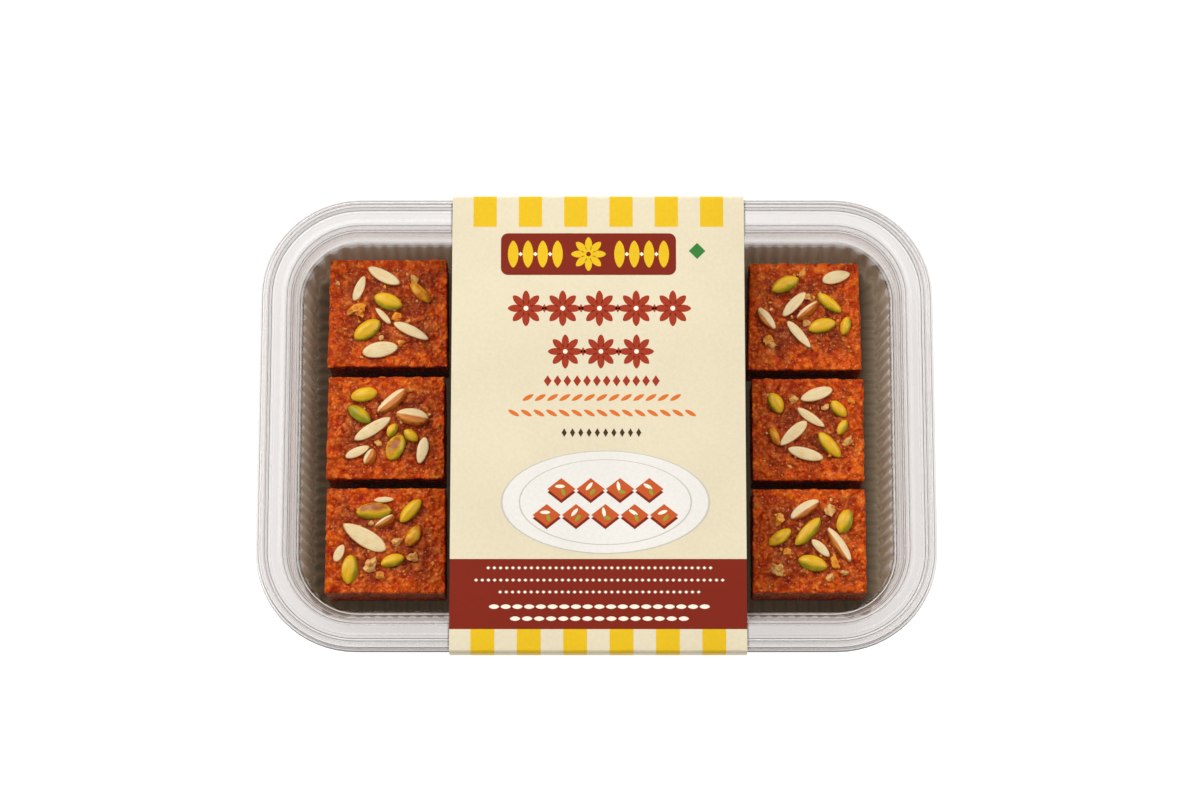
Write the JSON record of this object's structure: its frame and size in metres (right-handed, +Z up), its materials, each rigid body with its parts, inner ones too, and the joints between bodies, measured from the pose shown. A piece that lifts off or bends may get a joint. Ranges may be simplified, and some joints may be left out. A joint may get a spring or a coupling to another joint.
{
  "type": "carrot barfi",
  "caption": "Retail pack of nut-topped carrot barfi squares in a fluted clear tray with a clear lid and a printed card sleeve.",
  "frame": {"origin": "middle of the card sleeve's flat underside, at the bottom centre of the pack's bounding box", "axes": "+X along the pack's long side, +Y from the front edge to the back edge, +Z up out of the lid"},
  "size_m": [0.228, 0.1562, 0.0388],
  "materials": {
    "tray_plastic": "gloss",
    "lid_plastic": "gloss",
    "sleeve_card": "satin",
    "barfi": "satin"
  },
  "bodies": {
    "root": {"tray": "tray_plastic", "lid": "lid_plastic", "sleeve": "sleeve_card", "barfi_back_1": "barfi", "barfi_back_2": "barfi", "barfi_back_3": "barfi", "barfi_back_4": "barfi", "barfi_middle_1": "barfi", "barfi_middle_2": "barfi", "barfi_middle_3": "barfi", "barfi_middle_4": "barfi", "barfi_front_1": "barfi", "barfi_front_2": "barfi", "barfi_front_3": "barfi", "barfi_front_4": "barfi"}
  },
  "joints": []
}
